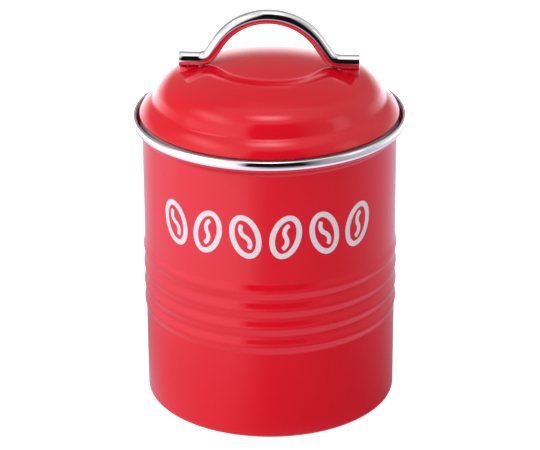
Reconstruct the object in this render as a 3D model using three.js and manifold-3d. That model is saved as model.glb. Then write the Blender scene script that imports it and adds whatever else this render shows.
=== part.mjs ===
// Storage canister with a lift-off domed lid.
// Millimetres, +Z up. The origin is the centre of the base, on the surface that the canister stands on.
// The handle runs along X, and the front of the canister faces -Y.

import * as THREE from 'three';
import { mergeVertices } from 'three/addons/utils/BufferGeometryUtils.js';
import Module from 'manifold-3d';

const wasm = await Module();
wasm.setup();

// ---- Driving dimensions ----

const BODY_RADIUS = 52.5;
const SHEET = 0.6;
const ROUND_SEGMENTS = 40;
const CUT_GAP = 0.3;

const HEM_RADIUS = 1.2;
const HEM_WIDTH = 4.8;
const FLOOR_HEIGHT = 4;

const BEAD_COUNT = 4;
const BEAD_PITCH = 8.1;
const BEAD_HEIGHT = 0.62;
const LOWEST_BEAD = 42.1;

const FLARE_START = 116.6;
const FLARE_OUT = 3.3;
const FLARE_RISE = 4.2;
const RIM_CENTRE = 122.4;
const RIM_HALF_WIDTH = 1;
const RIM_HALF_HEIGHT = 1.9;
const RIM_SLOT_DEPTH = 2.4;

const DOME_TOP = 146.7;
const DOME_RADIUS = 116;
const SHOULDER_START = 39;
const SHOULDER_RADIUS = 14;
const SHOULDER_SLOPE = THREE.MathUtils.degToRad(55);
const BRIM_RADIUS = 13.6;
const BRIM_CENTRE = 41.5;
const BRIM_CENTRE_HEIGHT = 118.6;
const BRIM_EDGE_SLOPE = THREE.MathUtils.degToRad(29);
const BRIM_COVE_SLOPE = THREE.MathUtils.degToRad(62);
const LID_HEM_RADIUS = 0.9;

const COLLAR_RADIUS = 50.4;
const COLLAR_BOTTOM = 109;
const COLLAR_TOP = 123.6;
const COLLAR_FLANGE = 52.2;

const SEAL_BOTTOM = 117.2;
const SEAL_LIP = 53.5;
const SEAL_LIP_HEIGHT = 119.3;

const FOOT_SPAN = 74;
const FOOT_LENGTH = 8;
const FOOT_AXIS = 146.4;
const CROWN_AXIS = 165.1;
const BAR_WIDTH = 6.4;
const BAR_THICKNESS = 6;
const CROWN_RADIUS = 25;
const LEG_SLOPE = THREE.MathUtils.degToRad(56);
const HANDLE_STEPS = 44;

const SCREW_RADIUS = 1.25;
const SCREW_HEAD_RADIUS = 3;
const SCREW_HEAD_HEIGHT = 2.2;
const SCREW_BITE = 3.6;
const SPACER_HALF_LENGTH = 3.9;
const SPACER_HALF_WIDTH = 2.9;
const SCREW_SEAL_RADIUS = 3.6;
const SCREW_SEAL_BOTTOM = 138.6;

const COLOURS = {
  enamel: { color: 0xd81c2a, roughness: 0.22, metalness: 0 },
  innerEnamel: { color: 0xc01a26, roughness: 0.35, metalness: 0 },
  plated: { color: 0xdcdfe0, roughness: 0.08, metalness: 1 },
  silicone: { color: 0xb9b4ba, roughness: 0.6, metalness: 0 },
  screwSteel: { color: 0xb8babc, roughness: 0.3, metalness: 1 },
};

// ---- Profiles: every point is (distance from the axis, height) ----

const point = (radius, height) => new THREE.Vector2(radius, height);

/** Points along an arc about (radius, height), ends included. Angles are in radians from the outward direction. */
function arc(radius, height, size, from, to, steps) {
  return Array.from({ length: steps + 1 }, (_, i) => {
    const angle = from + ((to - from) * i) / steps;
    return point(radius + size * Math.cos(angle), height + size * Math.sin(angle));
  });
}

/** The outline moved inwards, to its left as it is walked, by one sheet thickness. */
function offset(outline, distance) {
  return outline.map((here, i) => {
    const before = outline[Math.max(i - 1, 0)];
    const after = outline[Math.min(i + 1, outline.length - 1)];
    const along = after.clone().sub(before).normalize();
    return point(here.x - along.y * distance, here.y + along.x * distance);
  });
}

/** Closed section of a sheet that is pressed to an outline. */
function sheetSection(outline, thickness = SHEET) {
  const inner = offset(outline, thickness).reverse();
  return [...outline, ...inner, outline[0].clone()];
}

// ---- Geometry helpers ----

/** A solid of revolution about Z, from a profile that closes on itself or starts and ends on the axis. */
function turn(profile, segments = ROUND_SEGMENTS) {
  const geometry = new THREE.LatheGeometry(profile, segments).rotateX(Math.PI / 2);
  return geometry;
}

/** A closed mesh as a solid that can be cut. */
function toSolid(geometry) {
  const bare = geometry.clone();
  bare.deleteAttribute('normal');
  bare.deleteAttribute('uv');
  const merged = mergeVertices(bare, 1e-4);
  const corners = Uint32Array.from(merged.index.array);
  const whole = [];
  for (let i = 0; i < corners.length; i += 3) {
    const [a, b, c] = corners.slice(i, i + 3);
    if (a !== b && b !== c && c !== a) whole.push(a, b, c);
  }
  return new wasm.Manifold(new wasm.Mesh({
    numProp: 3,
    vertProperties: Float32Array.from(merged.attributes.position.array),
    triVerts: Uint32Array.from(whole),
  }));
}

/** The solid's surface as a geometry. */
function toGeometry(solid) {
  const { vertProperties, triVerts } = solid.getMesh();
  const geometry = new THREE.BufferGeometry();
  geometry.setAttribute('position', new THREE.BufferAttribute(vertProperties, 3));
  geometry.setIndex(new THREE.BufferAttribute(triVerts, 1));
  geometry.computeVertexNormals();
  return geometry;
}

/** A cylinder that stands on Z at (x, 0). */
function rod(x, radius, bottom, top, segments = 20) {
  return new THREE.CylinderGeometry(radius, radius, top - bottom, segments)
    .rotateX(Math.PI / 2)
    .translate(x, 0, (bottom + top) / 2);
}

function part(name, geometry, finish) {
  const mesh = new THREE.Mesh(geometry, new THREE.MeshStandardMaterial(finish));
  mesh.name = name;
  return mesh;
}

// ---- Canister ----

/** Outer face of the wall, from the inner edge of the bottom hem up to the edge of the mouth. */
function wallOutline() {
  const hem = arc(BODY_RADIUS - HEM_RADIUS, HEM_RADIUS, HEM_RADIUS, -Math.PI / 2, 0, 4);
  const beads = [];
  const pointsPerBead = 4;
  for (let i = 0; i <= BEAD_COUNT * pointsPerBead; i += 1) {
    const height = LOWEST_BEAD - BEAD_PITCH / 2 + (i * BEAD_PITCH) / pointsPerBead;
    const swell = Math.sin((Math.PI * i) / pointsPerBead) ** 2;
    beads.push(point(BODY_RADIUS + BEAD_HEIGHT * swell, height));
  }
  const flare = Array.from({ length: 6 }, (_, i) => {
    const s = i / 5;
    return point(BODY_RADIUS + FLARE_OUT * (1 - Math.cos(Math.PI * s)) / 2, FLARE_START + FLARE_RISE * s);
  });
  return [
    point(BODY_RADIUS - HEM_WIDTH, 0),
    ...hem,
    ...beads,
    ...flare,
    point(BODY_RADIUS + FLARE_OUT, RIM_CENTRE + 0.5),
  ];
}

function canisterWall() {
  return part('canister_wall', turn(sheetSection(wallOutline())), COLOURS.enamel);
}

function basePan() {
  const outer = BODY_RADIUS - SHEET - CUT_GAP;
  const skirtBottom = SHEET + CUT_GAP;
  const outline = [
    point(outer, skirtBottom),
    ...arc(outer - 1, FLOOR_HEIGHT - 1 + SHEET, 1, 0, Math.PI / 2, 3),
    point(0, FLOOR_HEIGHT + SHEET),
  ];
  const underside = [
    point(0, FLOOR_HEIGHT),
    point(outer - 1, FLOOR_HEIGHT),
    point(outer - SHEET, FLOOR_HEIGHT - 0.6),
    point(outer - SHEET, skirtBottom),
  ];
  return part('base_pan', turn([...outline, ...underside, outline[0].clone()]), COLOURS.innerEnamel);
}

function rimRing() {
  const centre = BODY_RADIUS + FLARE_OUT - SHEET / 2;
  const slot = SHEET / 2 + 0.25;
  const oval = Array.from({ length: 13 }, (_, i) => {
    const angle = -Math.PI / 2 + 0.75 + ((2 * Math.PI - 1.5) * i) / 12;
    return point(centre + RIM_HALF_WIDTH * Math.cos(angle), RIM_CENTRE + RIM_HALF_HEIGHT * Math.sin(angle));
  });
  const mouth = oval[0].y;
  const slotTop = mouth + RIM_SLOT_DEPTH;
  const section = [
    ...oval,
    point(centre - slot, mouth),
    point(centre - slot, slotTop),
    point(centre + slot, slotTop),
    point(centre + slot, mouth),
    oval[0].clone(),
  ];
  return part('rim_ring', turn(section), COLOURS.plated);
}

// ---- Lid ----

/** Height of the dome's outer face at a distance from the axis, inside the shoulder. */
const domeHeight = (radius) => DOME_TOP - DOME_RADIUS + Math.sqrt(DOME_RADIUS ** 2 - radius ** 2);

/** Outer face of the lid, from the brim's hem up to the top of the dome. */
function lidOutline() {
  const shoulderAngle = Math.asin(SHOULDER_START / DOME_RADIUS);
  const shoulderCentre = point(
    SHOULDER_START - SHOULDER_RADIUS * Math.sin(shoulderAngle),
    domeHeight(SHOULDER_START) - SHOULDER_RADIUS * Math.cos(shoulderAngle),
  );
  const dome = [0.8, 0.55, 0.28, 0].map((share) => point(SHOULDER_START * share, domeHeight(SHOULDER_START * share)));
  const hemReach = BRIM_RADIUS - LID_HEM_RADIUS;
  const hemX = BRIM_CENTRE + hemReach * Math.cos(BRIM_EDGE_SLOPE);
  const hemY = BRIM_CENTRE_HEIGHT + hemReach * Math.sin(BRIM_EDGE_SLOPE);
  return [
    ...arc(hemX, hemY, LID_HEM_RADIUS, -Math.PI / 2, BRIM_EDGE_SLOPE, 4),
    ...arc(BRIM_CENTRE, BRIM_CENTRE_HEIGHT, BRIM_RADIUS, BRIM_EDGE_SLOPE, BRIM_COVE_SLOPE, 5).slice(1),
    ...arc(shoulderCentre.x, shoulderCentre.y, SHOULDER_RADIUS, Math.PI / 2 - SHOULDER_SLOPE,
      Math.PI / 2 - shoulderAngle, 4),
    ...dome,
  ];
}

/** Solid of everything that the lid's outer face encloses, grown by a distance. */
function domeSolid(growth) {
  const outline = [point(SHOULDER_START, DOME_TOP - 20), point(SHOULDER_START, domeHeight(SHOULDER_START))];
  for (let share = 0.875; share >= 0; share -= 0.125) {
    outline.push(point(SHOULDER_START * share, domeHeight(SHOULDER_START * share)));
  }
  const grown = outline.map((p, i) => (i === 0 ? p : point(p.x, p.y + growth)));
  return toSolid(turn([point(0, DOME_TOP - 20), ...grown], 96));
}

function lidShell(screwPlaces) {
  let solid = toSolid(turn(sheetSection(lidOutline())));
  for (const x of screwPlaces) {
    solid = solid.subtract(toSolid(rod(x, SCREW_RADIUS + CUT_GAP, DOME_TOP - 12, DOME_TOP)));
  }
  return part('lid_shell', toGeometry(solid), COLOURS.enamel);
}

function lidCollar() {
  const outline = [
    point(COLLAR_RADIUS - 1, COLLAR_BOTTOM),
    point(COLLAR_RADIUS - 0.4, COLLAR_BOTTOM + 0.15),
    point(COLLAR_RADIUS, COLLAR_BOTTOM + 1),
    point(COLLAR_RADIUS, COLLAR_TOP - 0.8),
    point(COLLAR_RADIUS + 0.6, COLLAR_TOP),
    point(COLLAR_FLANGE, COLLAR_TOP),
  ];
  return part('lid_collar', turn(sheetSection(outline, SHEET)), COLOURS.innerEnamel);
}

/** The seal fills the gap between the collar and the flare, and its lip rests on the flare. */
function lidSeal() {
  const inner = COLLAR_RADIUS + CUT_GAP;
  const top = COLLAR_TOP - CUT_GAP;
  const section = [
    point(inner, SEAL_BOTTOM),
    point(inner + 0.9, SEAL_BOTTOM),
    point(SEAL_LIP - 0.9, SEAL_LIP_HEIGHT - 1.1),
    point(SEAL_LIP, SEAL_LIP_HEIGHT - 0.3),
    point(SEAL_LIP, SEAL_LIP_HEIGHT + 0.3),
    point(SEAL_LIP - 0.8, top - 1.2),
    point(SEAL_LIP - 0.8, top - 0.3),
    point(SEAL_LIP - 1.1, top),
    point(inner + 1, top),
    point(inner, top - 1),
    point(inner, SEAL_BOTTOM),
  ];
  return part('lid_seal', turn(section), COLOURS.silicone);
}

// ---- Handle ----

/** Centre line of the bar: a flat foot, a bend up, a straight leg, the crown's arc, and the same mirrored. */
class HandleLine extends THREE.Curve {
  constructor() {
    super();
    const rise = CROWN_AXIS - FOOT_AXIS;
    const halfSpan = FOOT_SPAN / 2 - FOOT_LENGTH;
    const crownRun = CROWN_RADIUS * Math.sin(LEG_SLOPE);
    const crownDrop = CROWN_RADIUS * (1 - Math.cos(LEG_SLOPE));
    const turned = 1 - Math.cos(LEG_SLOPE) - Math.tan(LEG_SLOPE) * Math.sin(LEG_SLOPE);
    const bend = (rise - crownDrop - Math.tan(LEG_SLOPE) * (halfSpan - crownRun)) / turned;
    const leg = (halfSpan - crownRun - bend * Math.sin(LEG_SLOPE)) / Math.cos(LEG_SLOPE);
    this.lengths = [FOOT_LENGTH, bend * LEG_SLOPE, leg, CROWN_RADIUS * LEG_SLOPE];
    this.bend = bend;
    this.halfLength = this.lengths.reduce((sum, length) => sum + length, 0);
  }

  /** Distance from the middle and height of the point that lies some way in from an end. */
  halfPoint(travelled) {
    const [foot, bendLength, leg] = this.lengths;
    const bendStart = FOOT_SPAN / 2 - foot;
    if (travelled <= foot) return [FOOT_SPAN / 2 - travelled, FOOT_AXIS];
    const turned = Math.min((travelled - foot) / this.bend, LEG_SLOPE);
    const bendEnd = [bendStart - this.bend * Math.sin(turned), FOOT_AXIS + this.bend * (1 - Math.cos(turned))];
    if (travelled <= foot + bendLength) return bendEnd;
    const up = Math.min(travelled - foot - bendLength, leg);
    if (travelled <= foot + bendLength + leg) {
      return [bendEnd[0] - up * Math.cos(LEG_SLOPE), bendEnd[1] + up * Math.sin(LEG_SLOPE)];
    }
    const angle = (this.halfLength - travelled) / CROWN_RADIUS;
    return [CROWN_RADIUS * Math.sin(angle), CROWN_AXIS - CROWN_RADIUS * (1 - Math.cos(angle))];
  }

  getPoint(t, target = new THREE.Vector3()) {
    const travelled = 2 * this.halfLength * t;
    const fromEnd = Math.min(travelled, 2 * this.halfLength - travelled);
    const side = travelled <= this.halfLength ? -1 : 1;
    const [run, height] = this.halfPoint(fromEnd);
    return target.set(side * run, 0, height);
  }
}

function handleBar(screwPlaces) {
  const section = new THREE.Shape();
  section.absellipse(0, 0, BAR_THICKNESS / 2, BAR_WIDTH / 2, 0, 2 * Math.PI, false, 0);
  const bar = new THREE.ExtrudeGeometry(section, {
    extrudePath: new HandleLine(),
    steps: HANDLE_STEPS,
    curveSegments: 6,
    bevelEnabled: false,
  });
  let solid = toSolid(bar);
  const hole = FOOT_AXIS - BAR_THICKNESS / 2 + SCREW_BITE + CUT_GAP;
  for (const x of screwPlaces) {
    solid = solid.subtract(toSolid(rod(x, SCREW_RADIUS + CUT_GAP, FOOT_AXIS - BAR_THICKNESS, hole)));
  }
  return part('handle_bar', toGeometry(solid), COLOURS.plated);
}

function handleSpacer(name, x) {
  const top = FOOT_AXIS - BAR_THICKNESS / 2 - 0.05;
  const oval = rod(0, SPACER_HALF_WIDTH, DOME_TOP - 12, top, 28)
    .scale(SPACER_HALF_LENGTH / SPACER_HALF_WIDTH, 1, 1)
    .translate(x, 0, 0);
  const blank = toSolid(oval);
  const bored = blank.subtract(toSolid(rod(x, SCREW_RADIUS + CUT_GAP, DOME_TOP - 14, top + 1)));
  return part(name, toGeometry(bored.subtract(domeSolid(CUT_GAP / 3))), COLOURS.enamel);
}

function screwSeal(name, x) {
  const blank = toSolid(rod(x, SCREW_SEAL_RADIUS, SCREW_SEAL_BOTTOM, DOME_TOP));
  const bored = blank.subtract(toSolid(rod(x, SCREW_RADIUS + CUT_GAP, SCREW_SEAL_BOTTOM - 1, DOME_TOP + 1)));
  return part(name, toGeometry(bored.intersect(domeSolid(-SHEET - CUT_GAP))), COLOURS.silicone);
}

function handleScrew(name, x) {
  const headTop = SCREW_SEAL_BOTTOM - 0.05;
  const tip = FOOT_AXIS - BAR_THICKNESS / 2 + SCREW_BITE;
  const profile = [
    point(0, headTop - SCREW_HEAD_HEIGHT),
    point(SCREW_HEAD_RADIUS * 0.7, headTop - SCREW_HEAD_HEIGHT),
    point(SCREW_HEAD_RADIUS, headTop - SCREW_HEAD_HEIGHT * 0.55),
    point(SCREW_HEAD_RADIUS, headTop),
    point(SCREW_RADIUS, headTop),
    point(SCREW_RADIUS, tip - 0.5),
    point(SCREW_RADIUS * 0.6, tip),
    point(0, tip),
  ];
  return part(name, turn(profile, 16).translate(x, 0, 0), COLOURS.screwSteel);
}

// ---- Assembly ----

function canister() {
  const group = new THREE.Group();
  group.add(canisterWall(), basePan(), rimRing());
  return group;
}

function lid() {
  const group = new THREE.Group();
  const reach = (FOOT_SPAN - FOOT_LENGTH) / 2;
  group.add(lidShell([-reach, reach]), lidCollar(), lidSeal(), handleBar([-reach, reach]));
  for (const [side, x] of [['left', -reach], ['right', reach]]) {
    group.add(handleSpacer(`handle_spacer_${side}`, x));
    group.add(screwSeal(`screw_seal_${side}`, x));
    group.add(handleScrew(`handle_screw_${side}`, x));
  }
  return group;
}

const group = new THREE.Group();
group.add(canister(), lid());

export default group;
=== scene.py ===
"""A kitchen storage canister with a lift-off domed lid, finished around its fixed frame.

The canister stands at the origin, its handle runs along X and its front faces -Y. Each
sub-assembly is a class that models its pieces with the mesh tools and dresses them. Sizes
are in metres, written as a number of millimetres times MM.
"""

from __future__ import annotations

import logging
import math
from contextlib import contextmanager
from dataclasses import dataclass, field, replace
from enum import Enum
from typing import Callable, Iterator, Sequence

import bmesh
import bpy
from mathutils import Matrix, Vector


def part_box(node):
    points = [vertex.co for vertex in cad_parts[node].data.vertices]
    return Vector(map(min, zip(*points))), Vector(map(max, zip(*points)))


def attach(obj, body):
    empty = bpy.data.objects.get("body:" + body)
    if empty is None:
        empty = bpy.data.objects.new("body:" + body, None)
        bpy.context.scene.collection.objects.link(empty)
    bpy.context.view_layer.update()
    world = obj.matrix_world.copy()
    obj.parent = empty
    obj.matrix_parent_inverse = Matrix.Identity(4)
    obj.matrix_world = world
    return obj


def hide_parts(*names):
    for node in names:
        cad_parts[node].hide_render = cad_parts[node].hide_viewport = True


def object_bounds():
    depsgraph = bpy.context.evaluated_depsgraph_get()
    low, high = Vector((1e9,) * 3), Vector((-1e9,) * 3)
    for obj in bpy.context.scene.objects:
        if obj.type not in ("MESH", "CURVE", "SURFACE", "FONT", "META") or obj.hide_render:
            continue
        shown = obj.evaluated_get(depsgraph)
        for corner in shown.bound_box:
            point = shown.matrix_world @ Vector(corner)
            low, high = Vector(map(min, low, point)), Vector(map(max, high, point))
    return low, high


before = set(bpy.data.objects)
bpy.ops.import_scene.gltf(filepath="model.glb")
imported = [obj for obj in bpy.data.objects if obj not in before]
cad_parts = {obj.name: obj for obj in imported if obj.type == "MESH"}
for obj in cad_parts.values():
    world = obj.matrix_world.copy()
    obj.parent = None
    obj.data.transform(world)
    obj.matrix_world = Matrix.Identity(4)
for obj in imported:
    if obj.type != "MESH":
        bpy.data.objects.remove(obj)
CAD_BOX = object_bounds()

MM = 0.001
MERGE_DISTANCE = 0.002 * MM
FULL_TURN = 2 * math.pi
SPIN_STEPS = 192
ROD_SIDES = 48
SCREW_HOLE_RADIUS = 1.55 * MM
SHEET_THICKNESS = 0.6 * MM
LOG = logging.getLogger("canister")

Point = tuple[float, float]
Colour = tuple[float, float, float, float]
Socket = bpy.types.NodeSocket


class Body(Enum):
    """The two bodies of the frame."""

    CANISTER = "canister"
    LID = "lid"


class Slot(Enum):
    """The finishes that the record names."""

    ENAMEL = "enamel"
    # The inner enamel carries painted shade: it is a darker copy of the enamel for faces that sit in shade.
    ENAMEL_INNER = "enamel_inner"
    PRINT_WHITE = "print_white"
    PLATED = "plated"
    SILICONE = "silicone"
    SCREW_STEEL = "screw_steel"


class Element(Enum):
    """What a selection picks in edit mode."""

    VERTICES = "VERT"
    EDGES = "EDGE"
    FACES = "FACE"


class Side(Enum):
    """The two ends of the handle, by the sign of X."""

    LEFT = -1
    RIGHT = 1


# ---- Bench tools: selecting, editing and modifying a piece ----


def take(piece: bpy.types.Object) -> None:
    """Deselects everything else and makes the piece the one that operators act on.

    Args:
        piece: the object to work on.
    """
    bpy.ops.object.select_all(action="DESELECT")
    piece.select_set(True)
    bpy.context.view_layer.objects.active = piece


def primitive(name: str, kind: str, **settings) -> bpy.types.Object:
    """Adds a primitive, names it and moves its place into its mesh.

    Args:
        name: the piece's name.
        kind: plane, circle, cube, cylinder or uv_sphere.
        settings: what the primitive's operator is told.

    Returns:
        The named object, at the origin and unturned.
    """
    bpy.ops.object.select_all(action="DESELECT")
    getattr(bpy.ops.mesh, f"primitive_{kind}_add")(**settings)
    piece = bpy.context.object
    piece.name = name
    piece.data.name = name
    bpy.ops.object.transform_apply(location=True, rotation=True, scale=True)
    return piece


@contextmanager
def editing(piece: bpy.types.Object) -> Iterator[None]:
    """Holds a piece in edit mode for the length of a with block.

    Args:
        piece: the object to edit.
    """
    take(piece)
    bpy.ops.object.mode_set(mode="EDIT")
    try:
        yield
    finally:
        bpy.ops.object.mode_set(mode="OBJECT")


def choose(piece: bpy.types.Object, kind: Element, test: Callable[[Vector, Vector], bool]) -> None:
    """Selects the elements whose place and normal pass a test, and nothing else.

    Args:
        piece: the object in edit mode.
        kind: whether vertices, edges or faces are picked.
        test: takes an element's middle and its normal.
    """
    bpy.ops.mesh.select_mode(type=kind.value)
    bpy.ops.mesh.select_all(action="DESELECT")
    mesh = bmesh.from_edit_mesh(piece.data)
    rows = {Element.VERTICES: mesh.verts, Element.EDGES: mesh.edges, Element.FACES: mesh.faces}
    for element in rows[kind]:
        if test(*middle_and_normal(element, kind)):
            element.select_set(True)
    mesh.select_flush_mode()
    bmesh.update_edit_mesh(piece.data)


def middle_and_normal(element, kind: Element) -> tuple[Vector, Vector]:
    """Where a vertex, edge or face lies and which way it faces.

    Args:
        element: a vertex, edge or face of an edit mesh.
        kind: which of the three it is.

    Returns:
        The element's middle and its normal.
    """
    if kind is Element.VERTICES:
        return element.co, element.normal
    if kind is Element.FACES:
        return element.calc_center_median(), element.normal
    first, second = element.verts
    return (first.co + second.co) / 2, (first.normal + second.normal).normalized()


def modify(piece: bpy.types.Object, kind: str, **settings) -> None:
    """Adds a modifier with these settings to a piece and applies it.

    Args:
        piece: the object to change.
        kind: Blender's name for the modifier's type.
        settings: the modifier's properties.
    """
    take(piece)
    modifier = piece.modifiers.new(kind.lower(), kind)
    for name, value in settings.items():
        setattr(modifier, name, value)
    bpy.ops.object.modifier_apply(modifier=modifier.name)


def thicken(piece: bpy.types.Object, thickness: float = SHEET_THICKNESS, **settings) -> None:
    """Gives an open sheet its thickness, on the side that its faces turn away from."""
    modify(piece, "SOLIDIFY", thickness=thickness, offset=-1.0, **settings)


def ease_edges(piece: bpy.types.Object, width: float, least_degrees: float = 30.0) -> None:
    """Rounds a piece's edges."""
    least = math.radians(least_degrees)
    modify(piece, "BEVEL", width=width, segments=3, limit_method="ANGLE", angle_limit=least)


def cut(piece: bpy.types.Object, tool: bpy.types.Object, operation: str = "DIFFERENCE") -> None:
    """Cuts a piece with a tool body, which is then thrown away."""
    modify(piece, "BOOLEAN", object=tool, operation=operation, solver="EXACT")
    bpy.data.objects.remove(tool)


def smooth(piece: bpy.types.Object, crease_degrees: float = 35.0) -> None:
    """Shades a piece smooth, except across edges sharper than the crease angle."""
    take(piece)
    bpy.ops.object.shade_smooth_by_angle(angle=math.radians(crease_degrees))


def copied(piece: bpy.types.Object, name: str) -> bpy.types.Object:
    """A second piece with a mesh of its own.

    Args:
        piece: the piece to copy.
        name: the copy's name.

    Returns:
        The copy, in the same place.
    """
    twin = piece.copy()
    twin.data = piece.data.copy()
    twin.name = name
    twin.data.name = name
    bpy.context.scene.collection.objects.link(twin)
    return twin


def moved(piece: bpy.types.Object, matrix: Matrix) -> bpy.types.Object:
    """Places a piece by a matrix, and keeps the place in its mesh.

    Args:
        piece: an object at the origin.
        matrix: the place to give it.

    Returns:
        The same object.
    """
    take(piece)
    piece.matrix_world = matrix
    bpy.ops.object.transform_apply(location=True, rotation=True, scale=True)
    return piece


def rod(name: str, radius: float, bottom: float, top: float, x: float = 0.0) -> bpy.types.Object:
    """A plain cylinder that stands on Z, as a blank or a cutting tool."""
    middle = (x, 0, (bottom + top) / 2)
    return primitive(name, "cylinder", vertices=ROD_SIDES, radius=radius, depth=top - bottom, location=middle)


class Profile:
    """A line drawn in the XZ plane from a single vertex, then spun about the Z axis.

    Points are (distance from the axis, height).
    """

    def __init__(self, name: str, start: Point) -> None:
        """Starts the line.

        Args:
            name: the piece's name.
            start: the line's first point.
        """
        self.piece = primitive(name, "plane", size=MM, location=(start[0], 0, start[1]))
        self.tip = start
        bpy.ops.object.mode_set(mode="EDIT")
        bpy.ops.mesh.select_mode(type="VERT")
        bpy.ops.mesh.merge(type="CENTER")

    def line(self, end: Point, steps: int = 1) -> Profile:
        """Draws on to a point in equal steps.

        Args:
            end: where the line goes.
            steps: how many edges it is made of.

        Returns:
            The same profile.
        """
        step = ((end[0] - self.tip[0]) / steps, 0, (end[1] - self.tip[1]) / steps)
        for _ in range(steps):
            bpy.ops.mesh.extrude_region_move(TRANSFORM_OT_translate={"value": step})
        self.tip = end
        return self

    def arc(self, centre: Point, turn: float, steps: int) -> Profile:
        """Draws on round a centre.

        Args:
            centre: the arc's centre.
            turn: the angle in radians, positive from the outward direction towards up.
            steps: how many edges it is made of.

        Returns:
            The same profile.
        """
        bpy.ops.mesh.spin(steps=steps, angle=turn, center=(centre[0], 0, centre[1]), axis=(0, 1, 0))
        out, up = self.tip[0] - centre[0], self.tip[1] - centre[1]
        self.tip = (
            centre[0] + out * math.cos(turn) - up * math.sin(turn),
            centre[1] + out * math.sin(turn) + up * math.cos(turn),
        )
        return self

    def follow(self, curve: Callable[[float], Point], steps: int) -> Profile:
        """Draws on along a curve.

        Args:
            curve: gives the point for a share of the way from 0 to 1.
            steps: how many edges it is made of.

        Returns:
            The same profile.
        """
        for index in range(1, steps + 1):
            self.line(curve(index / steps))
        return self

    def spun(self, steps: int, flipped: bool = False) -> bpy.types.Object:
        """Spins the line once about Z and closes its seam and its poles.

        Args:
            steps: the number of faces round it.
            flipped: turns the faces round, for an open sheet that comes out facing its axis.

        Returns:
            The piece, with its faces pointing outwards.
        """
        bpy.ops.mesh.select_all(action="SELECT")
        bpy.ops.mesh.spin(steps=steps, angle=FULL_TURN, center=(0, 0, 0), axis=(0, 0, 1))
        bpy.ops.mesh.select_all(action="SELECT")
        bpy.ops.mesh.remove_doubles(threshold=MERGE_DISTANCE)
        bpy.ops.mesh.normals_make_consistent(inside=flipped)
        bpy.ops.object.mode_set(mode="OBJECT")
        return self.piece


# ---- Finishes ----


class Graph:
    """A node tree that is being built."""

    def __init__(self, tree: bpy.types.NodeTree) -> None:
        """Takes a tree and empties it."""
        self.tree = tree
        self.tree.nodes.clear()

    def add(self, kind: str, inputs: dict | None = None, **settings) -> bpy.types.Node:
        """Adds a node.

        Args:
            kind: the node's type.
            inputs: socket names, each with a value or with another node's output.
            settings: properties of the node.

        Returns:
            The node.
        """
        node = self.tree.nodes.new(kind)
        for name, value in settings.items():
            setattr(node, name, value)
        for name, value in (inputs or {}).items():
            self.feed(node.inputs[name], value)
        return node

    def feed(self, socket: Socket, value) -> None:
        """Links an output to a socket, or sets the socket's value."""
        if isinstance(value, Socket):
            self.tree.links.new(value, socket)
        else:
            socket.default_value = value

    def maths(self, operation: str, first, second=0.0, third=0.0) -> Socket:
        """A Math node on values or outputs."""
        node = self.add("ShaderNodeMath", {0: first, 1: second, 2: third}, operation=operation)
        return node.outputs[0]

    def span(self, value, low: float, high: float, to_low: float, to_high: float) -> Socket:
        """Eases a value from one range into another.

        Args:
            value: the output to change.
            low: the start of its range.
            high: the end of its range.
            to_low: what low becomes.
            to_high: what high becomes.

        Returns:
            The eased output, held inside the new range.
        """
        node = self.add(
            "ShaderNodeMapRange",
            {"Value": value, "From Min": low, "From Max": high, "To Min": to_low, "To Max": to_high},
            interpolation_type="SMOOTHSTEP",
        )
        return node.outputs["Result"]

    def between(self, share, first, second) -> Socket:
        """A number that goes from the first to the second as the share goes from 0 to 1."""
        return self.maths("MULTIPLY_ADD", self.maths("SUBTRACT", second, first), share, first)

    def group(self, tree: bpy.types.NodeTree, **values: float) -> bpy.types.Node:
        """Puts a shared group into the tree, with these values at its inputs."""
        return self.add("ShaderNodeGroup", values, node_tree=tree)

    def ramp(self, value, stops: Sequence[Point]) -> Socket:
        """Looks up a brightness along a row of stops.

        Args:
            value: the output to look up, from 0 to 1.
            stops: places from 0 to 1, each with a brightness.

        Returns:
            The brightness.
        """
        node = self.add("ShaderNodeValToRGB", {"Fac": value})
        row = node.color_ramp.elements
        for place, _ in stops[1:-1]:
            row.new(place)
        for element, (_, bright) in zip(row, stops):
            element.color = (bright, bright, bright, 1.0)
        return node.outputs["Color"]

    def blend(self, share, first, second) -> Socket:
        """Mixes two colours.

        Args:
            share: how much of the second.
            first: a colour or an output.
            second: a colour or an output.

        Returns:
            The mixed colour.
        """
        node = self.add("ShaderNodeMix", data_type="RGBA")
        self.feed(node.inputs[0], share)
        self.feed(node.inputs[6], first)
        self.feed(node.inputs[7], second)
        return node.outputs[2]

    def place(self) -> Socket:
        """The place on the piece, in metres."""
        return self.add("ShaderNodeTexCoord").outputs["Object"]

    def parts(self, vector) -> bpy.types.bpy_prop_collection:
        """The X, Y and Z of a vector."""
        return self.add("ShaderNodeSeparateXYZ", {"Vector": vector}).outputs

    def noise(self, place, scale, detail: float) -> Socket:
        """A Noise texture's value at a place, with its scale in lumps for each metre."""
        node = self.add("ShaderNodeTexNoise", {"Vector": place, "Scale": scale, "Detail": detail})
        return node.outputs["Fac"]


def blank_material(name: str) -> tuple[bpy.types.Material, Graph, Socket]:
    """Starts a material.

    Args:
        name: the material's name.

    Returns:
        The material, its empty graph, and the socket that its surface goes into.
    """
    material = bpy.data.materials.new(name)
    material.use_nodes = True
    graph = Graph(material.node_tree)
    return material, graph, graph.add("ShaderNodeOutputMaterial").inputs["Surface"]


def hide_from(piece: bpy.types.Object, *rays: str) -> None:
    """Hides an object from these kinds of ray."""
    for ray in rays:
        setattr(piece, f"visible_{ray}", False)


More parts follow.
